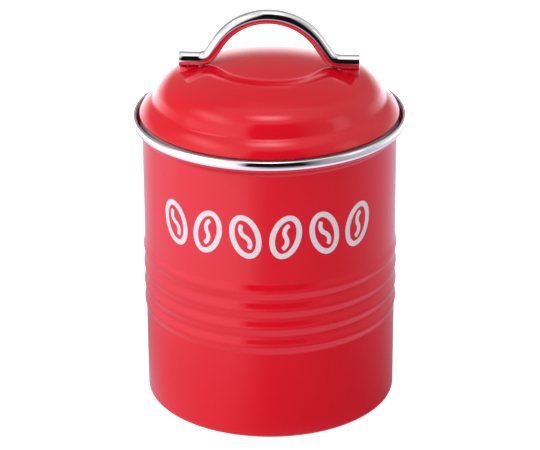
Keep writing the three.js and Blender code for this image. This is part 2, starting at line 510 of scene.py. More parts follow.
def new_group(name: str, inputs: Sequence[str], outputs: Sequence[str]) -> tuple[Graph, dict, dict]:
    """Starts a shader node group with plain number sockets.

    Args:
        name: the group's name.
        inputs: the names of its inputs.
        outputs: the names of its outputs.

    Returns:
        The graph inside it, its inputs by name, and its output node's sockets by name.
    """
    tree = bpy.data.node_groups.new(name, "ShaderNodeTree")
    for label in inputs:
        tree.interface.new_socket(label, in_out="INPUT", socket_type="NodeSocketFloat")
    for label in outputs:
        tree.interface.new_socket(label, in_out="OUTPUT", socket_type="NodeSocketFloat")
    graph = Graph(tree)
    entry = graph.add("NodeGroupInput")
    leaving = graph.add("NodeGroupOutput")
    return graph, {i: entry.outputs[i] for i in inputs}, {o: leaving.inputs[o] for o in outputs}


class Effects:
    """The surface effects that more than one finish uses, each built once as a node group.

    Scales are in lumps for each metre, and ranges are where a noise value fades in.
    """

    PEEL_SHARE = 0.25
    CLOUD_SCALE = 38.0
    CLOUD_RANGE = (0.35, 0.7)
    SPECK_SCALE = 620.0
    SPECK_SIZE = 0.16
    PATCH_SCALE = 90.0
    PATCH_RANGE = (0.52, 0.72)
    LINE_TURNS = (0.35, -0.6)
    LINE_STRETCH = (0.03, 1.0, 1.0)
    LINE_RANGE = (0.6, 0.78)

    def __init__(self) -> None:
        """Builds the three groups."""
        self.ripple = self._ripple()
        self.handling = self._handling()
        self.hairlines = self._hairlines()

    def _ripple(self) -> bpy.types.NodeTree:
        """The slow waviness and fine peel of a sprayed and fired coat.

        Returns:
            A group with the inputs Wave and Peel, in lumps for each metre, and the output Height.
        """
        graph, given, out = new_group("coat_ripple", ["Wave", "Peel"], ["Height"])
        place = graph.place()
        wave = graph.noise(place, given["Wave"], 1.0)
        peel = graph.noise(place, given["Peel"], 2.0)
        fine = graph.maths("MULTIPLY", peel, self.PEEL_SHARE)
        graph.feed(out["Height"], graph.maths("ADD", wave, fine))
        return graph.tree

    def _handling(self) -> bpy.types.NodeTree:
        """Cloudy wiping marks and scattered dust.

        Returns:
            A group with the input Dust, from 0 to 1, and the outputs Cloud and Speck.
        """
        graph, given, out = new_group("handling_marks", ["Dust"], ["Cloud", "Speck"])
        place = graph.place()
        cloud = graph.noise(place, self.CLOUD_SCALE, 5.0)
        graph.feed(out["Cloud"], graph.span(cloud, *self.CLOUD_RANGE, 0.0, 1.0))
        cells = graph.add(
            "ShaderNodeTexVoronoi", {"Vector": place, "Scale": self.SPECK_SCALE, "Randomness": 1.0}
        )
        near = graph.span(cells.outputs["Distance"], 0.0, self.SPECK_SIZE, 1.0, 0.0)
        patch = graph.span(graph.noise(place, self.PATCH_SCALE, 3.0), *self.PATCH_RANGE, 0.0, 1.0)
        speck = graph.maths("MULTIPLY", near, patch)
        graph.feed(out["Speck"], graph.maths("MULTIPLY", speck, given["Dust"]))
        return graph.tree

    def _hairlines(self) -> bpy.types.NodeTree:
        """Fine polishing lines in two crossing directions.

        Returns:
            A group with the input Density, in lines for each metre, and the output Line.
        """
        graph, given, out = new_group("polishing_lines", ["Density"], ["Line"])
        place = graph.place()
        lines = []
        for turn in self.LINE_TURNS:
            turned = graph.add("ShaderNodeMapping", {"Vector": place, "Rotation": (turn, turn, 0.9 * turn)})
            along = {"Vector": turned.outputs[0], "Scale": self.LINE_STRETCH}
            stretched = graph.add("ShaderNodeMapping", along)
            noise = graph.noise(stretched.outputs[0], given["Density"], 1.0)
            lines.append(graph.span(noise, *self.LINE_RANGE, 0.0, 1.0))
        graph.feed(out["Line"], graph.maths("MAXIMUM", *lines))
        return graph.tree


@dataclass(frozen=True)
class Finish:
    """A material whose colour and gloss follow cloudy wear and a fine grain over a low relief."""

    name: str
    colour: Colour
    roughness: float
    worn: Colour
    wear: float
    haze: float
    relief: float
    grain_haze: float = 0.0
    dust: float = 0.5
    metallic: float = 0.0

    def mix(self, effects: Effects) -> bpy.types.Material:
        """Makes the material.

        Args:
            effects: the shared node groups.

        Returns:
            The finished material.
        """
        material, graph, surface = blank_material(self.name)
        material.diffuse_color = self.colour
        shader = graph.add("ShaderNodeBsdfPrincipled")
        shader.inputs["Metallic"].default_value = self.metallic
        graph.feed(surface, shader.outputs["BSDF"])
        marks = graph.group(effects.handling, Dust=self.dust)
        height, grain = self.texture(graph, effects, marks)
        graph.feed(shader.inputs["Base Color"], self.shade(graph, marks, height))
        haze = graph.maths("MULTIPLY_ADD", marks.outputs["Cloud"], self.haze, self.roughness)
        graph.feed(shader.inputs["Roughness"], graph.maths("MULTIPLY_ADD", grain, self.grain_haze, haze))
        bump = graph.add("ShaderNodeBump", {"Height": height, "Distance": self.relief, "Strength": 1.0})
        graph.feed(shader.inputs["Normal"], bump.outputs["Normal"])
        return material

    def texture(self, graph: Graph, effects: Effects, marks: bpy.types.Node) -> tuple[Socket, Socket]:
        """The relief's height and the grain, which each kind of finish has of its own."""
        raise NotImplementedError

    def shade(self, graph: Graph, marks: bpy.types.Node, height: Socket) -> Socket:
        """The colour with its wear."""
        share = graph.maths("MULTIPLY", marks.outputs["Cloud"], self.wear)
        return graph.blend(share, self.colour, self.worn)


@dataclass(frozen=True)
class Metal(Finish):
    """Bright plating with polishing lines."""

    density: float = 2600.0
    metallic: float = 1.0

    def texture(self, graph: Graph, effects: Effects, marks: bpy.types.Node) -> tuple[Socket, Socket]:
        """The polishing lines, both as the relief and as the grain."""
        lines = graph.group(effects.hairlines, Density=self.density)
        return lines.outputs["Line"], lines.outputs["Line"]


@dataclass(frozen=True)
class Coat(Finish):
    """Enamel, ink or rubber, with a slow ripple, a fine peel and specks of dust."""

    wave: float = 160.0
    peel: float = 1400.0

    def texture(self, graph: Graph, effects: Effects, marks: bpy.types.Node) -> tuple[Socket, Socket]:
        """The ripple as the relief, and the dust as the grain."""
        ripple = graph.group(effects.ripple, Wave=self.wave, Peel=self.peel)
        return ripple.outputs["Height"], marks.outputs["Speck"]


@dataclass(frozen=True)
class Enamel(Coat):
    """A fired gloss coat on steel sheet, with pale dust on it."""

    dust_colour: Colour = (0.75, 0.35, 0.36, 1.0)
    dust_cover: float = 0.35

    def shade(self, graph: Graph, marks: bpy.types.Node, height: Socket) -> Socket:
        """The worn colour under the dust."""
        cover = graph.maths("MULTIPLY", marks.outputs["Speck"], self.dust_cover)
        return graph.blend(cover, super().shade(graph, marks, height), self.dust_colour)


@dataclass(frozen=True)
class Ink(Coat):
    """Screen-printed ink, thin where the coat's ripple is high."""

    thin_range: tuple[float, float] = (0.45, 0.85)

    def shade(self, graph: Graph, marks: bpy.types.Node, height: Socket) -> Socket:
        """The ink, with the thin patches."""
        return graph.blend(graph.span(height, *self.thin_range, 0.0, self.wear), self.colour, self.worn)


@dataclass(frozen=True)
class Rubber(Coat):
    """Cloudy moulded silicone that lets some light in."""

    light_share: float = 0.25
    light_depth: float = 0.8 * MM

    def mix(self, effects: Effects) -> bpy.types.Material:
        """Makes the material, then lets light into it."""
        material = super().mix(effects)
        shader = material.node_tree.nodes["Principled BSDF"]
        shader.inputs["Subsurface Weight"].default_value = self.light_share
        shader.inputs["Subsurface Scale"].default_value = self.light_depth
        return material


@dataclass
class FinishRack:
    """Every material of the object, by the slot that it belongs to."""

    materials: dict[Slot, bpy.types.Material]

    @classmethod
    def mixed(cls) -> FinishRack:
        """Mixes the six finishes over one set of effects."""
        effects = Effects()
        red = Enamel(
            "red_enamel", (0.65, 0.003, 0.0145, 1.0), 0.1, worn=(0.5, 0.003, 0.01, 1.0), wear=0.12,
            haze=0.035, relief=0.006 * MM, grain_haze=0.2,
        )
        chrome = Metal(
            "chrome_plating", (0.93, 0.94, 0.95, 1.0), 0.05, worn=(0.84, 0.85, 0.87, 1.0), wear=0.1,
            haze=0.03, relief=0.0006 * MM, grain_haze=0.06, dust=0.3,
        )
        zinc = Metal(
            "zinc_steel", (0.6, 0.62, 0.66, 1.0), 0.28, worn=(0.62, 0.6, 0.5, 1.0), wear=0.35,
            haze=0.0, relief=0.004 * MM, grain_haze=0.18, dust=0.6, density=5200.0,
        )
        silicone = Rubber(
            "grey_silicone", (0.42, 0.38, 0.42, 1.0), 0.5, worn=(0.5, 0.45, 0.5, 1.0), wear=1.0,
            haze=0.1, relief=0.02 * MM, dust=0.8, wave=500.0, peel=4200.0,
        )
        ink = Ink(
            "white_print", (0.66, 0.63, 0.69, 1.0), 0.32, worn=(0.66, 0.52, 0.59, 1.0), wear=0.3,
            haze=0.08, relief=0.01 * MM, dust=0.4, wave=900.0, peel=6500.0,
        )
        # The inner enamel is a darker, rougher copy of the red enamel. Its darker colour is painted shade for
        # the faces inside the canister and under the lid, and for the base pan and the collar.
        inside = (0.55, 0.003, 0.011, 1.0)
        inner = replace(red, name="red_enamel_inner_painted_shade", colour=inside, roughness=0.3, dust=0.7)
        recipes = {
            Slot.ENAMEL: red,
            Slot.ENAMEL_INNER: inner,
            Slot.PRINT_WHITE: ink,
            Slot.PLATED: chrome,
            Slot.SILICONE: silicone,
            Slot.SCREW_STEEL: zinc,
        }
        return cls({slot: recipe.mix(effects) for slot, recipe in recipes.items()})

    def dress(
        self,
        piece: bpy.types.Object,
        body: Body,
        slot: Slot,
        replaced: Sequence[str] = (),
        inside: Slot | None = None,
    ) -> None:
        """Gives a finished piece its material and fixes it to the frame.

        Args:
            piece: the piece to dress.
            body: the body that it moves with.
            slot: its finish.
            replaced: the nodes of the frame that it stands for.
            inside: a second finish, for faces with the second material index.
        """
        piece.data.materials.clear()
        for wanted in filter(None, (slot, inside)):
            piece.data.materials.append(self.materials[wanted])
        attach(piece, body.value)
        if replaced:
            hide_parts(*replaced)
        LOG.info("%s: %d faces, rides on %s", piece.name, len(piece.data.polygons), body.value)


# ---- Canister: wall, base pan, rim ring and print ----


@dataclass
class CanisterBody:
    """The open canister with its plated rim ring."""

    hem_width: float = 4.8 * MM
    hem_radius: float = 1.2 * MM
    flare_out: float = 3.3 * MM
    flare_start: float = 116.6 * MM
    flare_rise: float = 4.2 * MM
    bead_count: int = 4
    bead_pitch: float = 8.1 * MM
    bead_height: float = 0.62 * MM
    lowest_bead: float = 42.1 * MM
    seam_width: float = 3.6 * MM
    seam_height: float = 0.14 * MM
    ring_half_width: float = 1.0 * MM
    slot_half_width: float = 0.55 * MM
    slot_depth: float = 2.4 * MM
    slot_opening: float = 0.75
    seam_taper: float = 0.88
    joint_half_width: float = 0.12 * MM
    joint_draw: float = 0.93
    pan_corner: float = 1.4 * MM
    pan_dish: float = 0.7 * MM
    pan_slope: float = 1.6 * MM
    pan_ring_share: float = 0.62
    radius: float = field(init=False)
    mouth: float = field(init=False)

    def __post_init__(self) -> None:
        """Reads the wall's size from the frame."""
        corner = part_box("canister_wall")[1]
        self.mouth = corner.z
        self.radius = corner.x - self.flare_out

    def build(self, rack: FinishRack) -> bpy.types.Object:
        """Models and dresses the three pieces.

        Args:
            rack: the finishes.

        Returns:
            The wall, which the print lies on.
        """
        wall = self.wall()
        rack.dress(wall, Body.CANISTER, Slot.ENAMEL, ["canister_wall"], Slot.ENAMEL_INNER)
        rack.dress(self.base_pan(), Body.CANISTER, Slot.ENAMEL_INNER, ["base_pan"])
        rack.dress(self.rim_ring(), Body.CANISTER, Slot.PLATED, ["rim_ring"])
        return wall

    def bead_line(self, share: float) -> Point:
        """The beaded stretch of the wall.

        Args:
            share: how far up the stretch, from 0 to 1.

        Returns:
            The point of the outer face.
        """
        swell = math.sin(math.pi * self.bead_count * share) ** 2
        bottom = self.lowest_bead - self.bead_pitch / 2
        return self.radius + self.bead_height * swell, bottom + share * self.bead_count * self.bead_pitch

    def flare_line(self, share: float) -> Point:
        """The flare under the rim."""
        out = self.flare_out * (1 - math.cos(math.pi * share)) / 2
        return self.radius + out, self.flare_start + self.flare_rise * share

    def wall(self) -> bpy.types.Object:
        """The beaded wall, from its turned-in hem up to the flared mouth, with a lap seam behind.

        Returns:
            The piece.
        """
        profile = Profile("canister_shell", (self.radius - self.hem_width, 0.0))
        profile.line((self.radius - self.hem_radius, 0.0))
        profile.arc((self.radius - self.hem_radius, self.hem_radius), math.pi / 2, 8)
        profile.line(self.bead_line(0.0), 4)
        profile.follow(self.bead_line, 16 * self.bead_count)
        profile.line((self.radius, self.flare_start), 6)
        profile.follow(self.flare_line, 14)
        profile.line((self.radius + self.flare_out, self.mouth))
        wall = profile.spun(SPIN_STEPS)
        thicken(wall, use_even_offset=True, material_offset=1)
        self.raise_seam(wall)
        smooth(wall)
        return wall

    def raise_seam(self, wall: bpy.types.Object) -> None:
        """Lifts the strip where the sheet's ends lap, at the back.

        Args:
            wall: the wall with its full thickness.
        """
        half = self.seam_width / 2
        with editing(wall):
            for x in (-half, half):
                choose(wall, Element.FACES, lambda middle, _: middle.y > 0 and abs(middle.x) < 4 * half)
                bpy.ops.mesh.bisect(plane_co=(x, 0, 0), plane_no=(1, 0, 0))
            choose(
                wall,
                Element.FACES,
                lambda middle, normal: middle.y > 0
                and abs(middle.x) < half
                and self.hem_radius < middle.z < self.flare_start
                and normal.y > 0.5,
            )
            bpy.ops.mesh.extrude_region_move(TRANSFORM_OT_translate={"value": (0, self.seam_height, 0)})
            bpy.ops.transform.resize(value=(self.seam_taper, 1, 1))

    def base_pan(self) -> bpy.types.Object:
        """The floor, pressed in from below, with a raised ring and a dished middle.

        Returns:
            The piece.
        """
        low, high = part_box("base_pan")
        outer, top = high.x, high.z
        corner, dish, slope = self.pan_corner, self.pan_dish, self.pan_slope
        ring = self.pan_ring_share * outer
        profile = Profile("base_pan_pressed", (outer, low.z))
        profile.line((outer, top - corner), 2)
        profile.arc((outer - corner, top - corner), math.pi / 2, 8)
        profile.line((ring + slope, top), 5)
        profile.follow(
            lambda share: (ring + slope * (1 - share), top - dish * (1 - math.cos(math.pi * share)) / 2), 8
        )
        profile.line((0.0, top - dish), 8)
        pan = profile.spun(SPIN_STEPS)
        thicken(pan, use_even_offset=True)
        smooth(pan)
        return pan

    def rim_ring(self) -> bpy.types.Object:
        """The plated ring, an oval section with a slot for the wall's edge and a butt joint behind.

        Returns:
            The piece.
        """
        low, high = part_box("rim_ring")
        centre = high.x - self.ring_half_width
        half_height = (high.z - low.z) / (1 + math.cos(self.slot_opening))
        middle = high.z - half_height
        turn = FULL_TURN - 2 * self.slot_opening

        def oval(share: float) -> Point:
            """The section's outline, from one side of the slot round to the other."""
            angle = -math.pi / 2 + self.slot_opening + turn * share
            return centre + self.ring_half_width * math.cos(angle), middle + half_height * math.sin(angle)

        lip = oval(0.0)
        slot_top = low.z + self.slot_depth
        profile = Profile("rim_ring_plated", lip)
        profile.follow(oval, 40)
        for side, height in ((-1, lip[1]), (-1, slot_top), (1, slot_top), (1, lip[1])):
            profile.line((centre + side * self.slot_half_width, height))
        profile.line(lip)
        ring = profile.spun(SPIN_STEPS)
        self.nick_joint(ring, Vector((0, centre, middle)))
        smooth(ring, 50)
        return ring

    def nick_joint(self, ring: bpy.types.Object, middle: Vector) -> None:
        """Draws the ring in along a hair-wide line, where its two ends meet.

        Args:
            ring: the ring.
            middle: the middle of its section at the back.
        """
        gap = self.joint_half_width
        with editing(ring):
            for x in (-gap, 0.0, gap):
                choose(ring, Element.FACES, lambda place, _: place.y > 0 and abs(place.x) < 2 * MM)
                bpy.ops.mesh.bisect(plane_co=(x, 0, 0), plane_no=(1, 0, 0))
            choose(ring, Element.VERTICES, lambda place, _: place.y > 0 and abs(place.x) < gap / 4)
            bpy.ops.transform.resize(value=(1, self.joint_draw, self.joint_draw), center_override=middle)


@dataclass
class BeanPrint:
    """A row of six coffee beans drawn in line, printed round the front of the wall."""

    count: int = 6
    centre_height: float = 90.6 * MM
    middle_turn: float = math.radians(2.2)
    spread: float = math.radians(88.5)
    half_width: float = 6.3 * MM
    half_length: float = 9.6 * MM
    stroke: float = 2.25 * MM
    groove_stroke: float = 1.8 * MM
    groove_half: float = 5.3 * MM
    groove_bulge: float = 1.15 * MM
    lean: float = math.radians(16)
    ink: float = 0.07 * MM
    lift: float = 0.09 * MM

    def build(self, rack: FinishRack, wall: bpy.types.Object, radius: float) -> bpy.types.Object:
        """Models one bean, repeats it round the wall and lays the row on the surface.

        Args:
            rack: the finishes.
            wall: the piece that is printed on.
            radius: the wall's outer radius.

        Returns:
            The print.
        """
        bean = self.bean()
        beans = []
        for index in range(self.count):
            turn = self.middle_turn + self.spread * (index / (self.count - 1) - 0.5)
            lean = self.lean if index % 2 else -self.lean
            place = (
                Matrix.Rotation(turn, 4, "Z")
                @ Matrix.Translation((0, -radius - self.lift, self.centre_height))
                @ Matrix.Rotation(lean, 4, "Y")
            )
            beans.append(moved(copied(bean, f"bean_{index}"), place))
        bpy.data.objects.remove(bean)
        row = self.joined(beans, "bean_print")
        wrap = {"wrap_method": "NEAREST_SURFACEPOINT", "wrap_mode": "ON_SURFACE"}
        modify(row, "SHRINKWRAP", target=wall, offset=self.lift, **wrap)
        thicken(row, self.ink)
        smooth(row, 30)
        rack.dress(row, Body.CANISTER, Slot.PRINT_WHITE)
        return row

    def bean(self) -> bpy.types.Object:
        """One upright bean, flat in the XZ plane and facing -Y.

        Returns:
            The outline and the groove as one mesh.
        """
        outline = self.outline()
        halves = [self.groove(side) for side in (1, -1)]
        bean = self.joined([outline, *halves], "bean")
        with editing(bean):
            bpy.ops.mesh.select_all(action="SELECT")
            bpy.ops.mesh.remove_doubles(threshold=MERGE_DISTANCE)
            bpy.ops.mesh.normals_make_consistent(inside=False)
            if self.faces_back(bean):
                bpy.ops.mesh.flip_normals()
        return bean

    @staticmethod
    def faces_back(bean: bpy.types.Object) -> bool:
        """Whether the flat bean in edit mode faces +Y."""
        mesh = bmesh.from_edit_mesh(bean.data)
        return sum(face.normal.y for face in mesh.faces) > 0

    def outline(self) -> bpy.types.Object:
        """The oval ring of the bean.

        Returns:
            A flat ring.
        """
        upright = (math.pi / 2, 0, 0)
        ring = primitive(
            "bean_outline", "circle", vertices=72, radius=self.half_length, fill_type="NGON", rotation=upright
        )
        with editing(ring):
            bpy.ops.mesh.select_all(action="SELECT")
            bpy.ops.transform.resize(value=(self.half_width / self.half_length, 1, 1))
            bpy.ops.mesh.inset(thickness=self.stroke)
            bpy.ops.mesh.delete(type="FACE")
        return ring

    def groove(self, side: int) -> bpy.types.Object:
        """Half of the bean's S-shaped groove, a ribbon bent round an arc with a round end.

        Args:
            side: 1 for the upper half, which bulges to the left, or -1 for the lower one.

        Returns:
            A flat ribbon.
        """
        half_chord = self.groove_half / 2
        bend = (half_chord**2 + self.groove_bulge**2) / (2 * self.groove_bulge)
        half_angle = math.asin(half_chord / bend)
        centre = Vector((side * (bend - self.groove_bulge), 0, side * half_chord))
        width = self.groove_stroke
        slope = math.atan2(centre.z, centre.x)
        along = Vector((-math.sin(slope), 0, math.cos(slope)))
        lying = (math.pi / 2, -slope, 0)
        ribbon = primitive("bean_groove", "plane", size=width, location=along * width / 2, rotation=lying)
        with editing(ribbon):
            choose(ribbon, Element.VERTICES, lambda place, _: place.dot(along) > width / 2)
            bpy.ops.mesh.delete(type="VERT")
            bpy.ops.mesh.select_all(action="SELECT")
            bpy.ops.mesh.spin(steps=14, angle=-2 * half_angle, center=centre, axis=(0, 1, 0))
            bpy.ops.mesh.select_mode(type="VERT")
            bpy.ops.mesh.bevel(offset=0.46 * width, segments=6, affect="VERTICES")
        return ribbon

    @staticmethod
    def joined(parts: list[bpy.types.Object], name: str) -> bpy.types.Object:
        """Joins parts into one piece.

        Args:
            parts: the objects to join.
            name: the piece's name.

        Returns:
            The piece.
        """
        take(parts[0])
        for part in parts[1:]:
            part.select_set(True)
        bpy.ops.object.join()
        whole = bpy.context.object
        whole.name = name
        whole.data.name = name
        return whole


# ---- Lid: shell, collar and seal ----


@dataclass
class Lid:
    """The domed lid with the collar and seal that plug the mouth."""

    dome_radius: float = 116.0 * MM
    shoulder_start: float = 39.0 * MM
    shoulder_radius: float = 14.0 * MM
    shoulder_slope: float = math.radians(55)
    brim_radius: float = 13.6 * MM
    brim_centre: Point = (41.5 * MM, 118.6 * MM)
    brim_edge_slope: float = math.radians(29)
    brim_cove_slope: float = math.radians(62)
    hem_radius: float = 0.9 * MM
    cove_fillet: float = 0.8 * MM
    collar_flange: float = 1.8 * MM
    collar_bend: float = 0.8 * MM
    collar_turn_in: float = 1.0 * MM
    seal_width: float = 2.8 * MM
    seal_lip: float = 0.8 * MM
    seal_edge: float = 0.25 * MM
    top: float = field(init=False)

    def __post_init__(self) -> None:
        """Reads the dome's height from the frame."""
        self.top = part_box("lid_shell")[1].z

    @property
    def dome_centre(self) -> float:
        """The height of the dome's centre of curvature."""
        return self.top - self.dome_radius

    def build(self, rack: FinishRack, screw_places: Sequence[float]) -> None:
        """Models and dresses the three pieces.

        Args:
            rack: the finishes.
            screw_places: where along X the handle's screws pass through.
        """
        shell = self.shell(screw_places)
        rack.dress(shell, Body.LID, Slot.ENAMEL, ["lid_shell"], Slot.ENAMEL_INNER)
        rack.dress(self.collar(), Body.LID, Slot.ENAMEL_INNER, ["lid_collar"])
        rack.dress(self.seal(), Body.LID, Slot.SILICONE, ["lid_seal"])

    def shell(self, screw_places: Sequence[float]) -> bpy.types.Object:
        """The pressed dome: a curled hem, a rounded brim, a cove, a shoulder and a shallow crown.

        Args:
            screw_places: where along X the screw holes are.

        Returns:
            The piece.
        """
        reach = self.brim_radius - self.hem_radius
        edge = self.brim_edge_slope
        hem = (
            self.brim_centre[0] + reach * math.cos(edge),
            self.brim_centre[1] + reach * math.sin(edge),
        )
        lean = math.asin(self.shoulder_start / self.dome_radius)
        bend = self.dome_radius - self.shoulder_radius
        shoulder = (bend * math.sin(lean), self.dome_centre + bend * math.cos(lean))
        foot_angle = math.pi / 2 - self.shoulder_slope
        foot = (
            shoulder[0] + self.shoulder_radius * math.cos(foot_angle),
            shoulder[1] + self.shoulder_radius * math.sin(foot_angle),
        )
        profile = Profile("lid_dome", (hem[0], hem[1] - self.hem_radius))
        profile.arc(hem, math.pi / 2 + edge, 12)
        profile.arc(self.brim_centre, self.brim_cove_slope - edge, 18)
        cove = profile.tip
        profile.line(foot, 4)
        profile.arc(shoulder, self.shoulder_slope - lean, 18)
        profile.arc((0.0, self.dome_centre), lean, 24)
        shell = profile.spun(SPIN_STEPS)
        with editing(shell):
            near = 0.05 * MM
            choose(
                shell,
                Element.EDGES,
                lambda middle, _: abs(middle.z - cove[1]) < near
                and abs(math.hypot(middle.x, middle.y) - cove[0]) < near,
            )
            bpy.ops.mesh.bevel(offset=self.cove_fillet, segments=4)
        thicken(shell, material_offset=1)
        for x in screw_places:
            cut(shell, rod("drill", SCREW_HOLE_RADIUS, self.top - 12 * MM, self.top, x))
        smooth(shell)
        return shell

    def collar(self) -> bpy.types.Object:
        """The collar that drops into the mouth, with a turned-in lower edge and a flange above.

        Returns:
            The piece.
        """
        low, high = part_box("lid_collar")
        flange = high.x
        wall = flange - self.collar_flange
        top = high.z - SHEET_THICKNESS
        turn_in, bend = self.collar_turn_in, self.collar_bend
        profile = Profile("lid_collar_pressed", (wall - turn_in, low.z))
        profile.arc((wall - turn_in, low.z + turn_in), math.pi / 2, 8)
        profile.line((wall, top - bend), 6)
        profile.arc((wall + bend, top - bend), -math.pi / 2, 6)
        profile.line((flange, top), 2)
        collar = profile.spun(SPIN_STEPS, flipped=True)
        thicken(collar, use_even_offset=True)
        smooth(collar)
        return collar

    def seal(self) -> bpy.types.Object:
        """The moulded seal on the collar, with a lip that rests on the flare.

        Returns:
            The piece.
        """
        low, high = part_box("lid_seal")
        lip = high.x
        inner = lip - self.seal_width
        bottom, top = low.z, high.z
        waist = lip - self.seal_lip
        profile = Profile("lid_seal_moulded", (inner, bottom))
        for point in (
            (inner + 0.9 * MM, bottom),
            (lip - 1.1 * MM, bottom + 1.0 * MM),
            (lip, bottom + 2.0 * MM),
            (lip, bottom + 2.6 * MM),
            (waist, top - 1.3 * MM),
            (waist, top),
            (inner, top),
            (inner, bottom),
        ):
            profile.line(point)
        seal = profile.spun(SPIN_STEPS)
        ease_edges(seal, self.seal_edge, 25)
        smooth(seal, 60)
        return seal


# ---- Handle: bar, spacers, washers and screws ----


@dataclass
class Handle:
    """The bent bar and what holds each of its feet to the dome."""

    foot_length: float = 8.0 * MM
    foot_axis: float = 146.4 * MM
    crown_radius: float = 25.0 * MM
    leg_slope: float = math.radians(56)
    bar_width: float = 6.4 * MM
    bar_thickness: float = 6.0 * MM
    screw_radius: float = 1.25 * MM
    head_radius: float = 3.0 * MM
    head_height: float = 2.2 * MM
    spacer_half_length: float = 3.9 * MM
    spacer_half_width: float = 2.9 * MM
    washer_radius: float = 3.6 * MM
    clearance: float = 0.1 * MM
    pad_edge: float = 0.2 * MM
    washer_edge: float = 0.3 * MM
    section_sides: int = 56
    foot_bevel: float = 0.35 * MM
    thread_turns: int = 8
    thread_rise: float = 0.22 * MM
    thread_root: float = 0.84
    point_height: float = 0.6 * MM
    point_share: float = 0.6
    crown_share: float = 0.45
    flat_share: float = 0.55
    blade_size: tuple[float, float, float] = (0.62 * MM, 3.2 * MM, 2.6 * MM)
    reach: float = field(init=False)
    crown_axis: float = field(init=False)

    def __post_init__(self) -> None:
        """Reads the handle's span and height from the frame."""
        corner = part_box("handle_bar")[1]
        self.reach = corner.x
        self.crown_axis = corner.z - self.bar_thickness / 2

    @property
    def screw_reach(self) -> float:
        """How far from the middle the screws stand."""
        return self.reach - self.foot_length / 2

    def build(self, rack: FinishRack, lid: Lid) -> None:
        """Models and dresses the seven pieces.

        Args:
            rack: the finishes.
            lid: the lid, whose dome the spacers and washers fit.
        """
        rack.dress(self.bar(), Body.LID, Slot.PLATED, ["handle_bar"])
        for side in Side:
            label = side.name.lower()
            x = side.value * self.screw_reach
            spacer = self.spacer(f"spacer_{label}", x, lid)
            rack.dress(spacer, Body.LID, Slot.ENAMEL, [f"handle_spacer_{label}"])
            washer = self.washer(f"washer_{label}", x, lid)
            rack.dress(washer, Body.LID, Slot.SILICONE, [f"screw_seal_{label}"])
        screw = self.screw("screw_left", -self.screw_reach)
        twin = moved(copied(screw, "screw_right"), Matrix.Translation((2 * self.screw_reach, 0, 0)))
        rack.dress(screw, Body.LID, Slot.SCREW_STEEL, ["handle_screw_left"])
        rack.dress(twin, Body.LID, Slot.SCREW_STEEL, ["handle_screw_right"])

    def bar(self) -> bpy.types.Object:
        """The oval bar: a flat foot, a bend, a leg and the crown, then the same back down.

        Returns:
            The piece, with a hole in each foot for its screw.
        """
        slope = self.leg_slope
        rise = self.crown_axis - self.foot_axis
        half_span = self.reach - self.foot_length
        crown_run = self.crown_radius * math.sin(slope)
        crown_drop = self.crown_radius * (1 - math.cos(slope))
        turned = 1 - math.cos(slope) - math.tan(slope) * math.sin(slope)
        bend = (rise - crown_drop - math.tan(slope) * (half_span - crown_run)) / turned
        leg = (half_span - crown_run - bend * math.sin(slope)) / math.cos(slope)
        across, up = leg * math.cos(slope), leg * math.sin(slope)
        bar = primitive(
            "handle_bar_bent",
            "circle",
            vertices=self.section_sides,
            radius=self.bar_width / 2,
            fill_type="NGON",
            location=(-self.reach, 0, self.foot_axis),
            rotation=(0, math.pi / 2, 0),
        )
        with editing(bar):
            bpy.ops.mesh.select_all(action="SELECT")
            bpy.ops.transform.resize(value=(1, 1, self.bar_thickness / self.bar_width))
            self.pull((self.foot_length, 0, 0), 3)
            self.turn((-half_span, 0, self.foot_axis + bend), -slope, 16)
            self.pull((across, 0, up), 3)
            self.turn((0, 0, self.crown_axis - self.crown_radius), 2 * slope, 48)
            self.pull((across, 0, -up), 3)
            self.turn((half_span, 0, self.foot_axis + bend), -slope, 16)
            self.pull((self.foot_length, 0, 0), 3)
            bpy.ops.mesh.select_all(action="SELECT")
            bpy.ops.mesh.normals_make_consistent(inside=False)
            edge = self.reach - 0.01 * MM
            choose(bar, Element.EDGES, lambda middle, _: abs(middle.x) > edge)
            bpy.ops.mesh.bevel(offset=self.foot_bevel, segments=4)
        bottom = self.foot_axis - self.bar_thickness
        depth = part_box("handle_screw_left")[1].z + 0.3 * MM
        for side in Side:
            cut(bar, rod("drill", SCREW_HOLE_RADIUS, bottom, depth, side.value * self.screw_reach))
        smooth(bar, 40)
        return bar

    @staticmethod
    def pull(travel: tuple[float, float, float], steps: int) -> None:
        """Extrudes the selected end face straight on.

        Args:
            travel: how far it goes in all.
            steps: how many lengths it is made of.
        """
        step = tuple(part / steps for part in travel)
        for _ in range(steps):
            bpy.ops.mesh.extrude_region_move(TRANSFORM_OT_translate={"value": step})

    @staticmethod
    def turn(centre: tuple[float, float, float], angle: float, steps: int) -> None:
        """Sweeps the selected end face round a centre."""
        bpy.ops.mesh.spin(steps=steps, angle=angle, center=centre, axis=(0, -1, 0))

    def dome_tool(self, radius: float, centre: float) -> bpy.types.Object:
        """A ball that has the dome's curve, to cut with."""
        place = (0, 0, centre)
        return primitive("dome_tool", "uv_sphere", segments=128, ring_count=96, radius=radius, location=place)

    def spacer(self, name: str, x: float, lid: Lid) -> bpy.types.Object:
        """The oval enamelled pad between a foot and the dome, its lower face cut to the dome.

        Args:
            name: the piece's name.
            x: where it stands.
            lid: the lid.

        Returns:
            The piece.
        """
        low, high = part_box("handle_spacer_left")
        stretch = Matrix.Diagonal((self.spacer_half_length / self.spacer_half_width, 1, 1, 1))
        pad = rod(name, self.spacer_half_width, low.z - 2 * MM, high.z)
        moved(pad, Matrix.Translation((x, 0, 0)) @ stretch)
        ease_edges(pad, self.pad_edge)
        cut(pad, rod("drill", SCREW_HOLE_RADIUS, low.z - 4 * MM, high.z + MM, x))
        cut(pad, self.dome_tool(lid.dome_radius + self.clearance, lid.dome_centre))
        smooth(pad)
        return pad

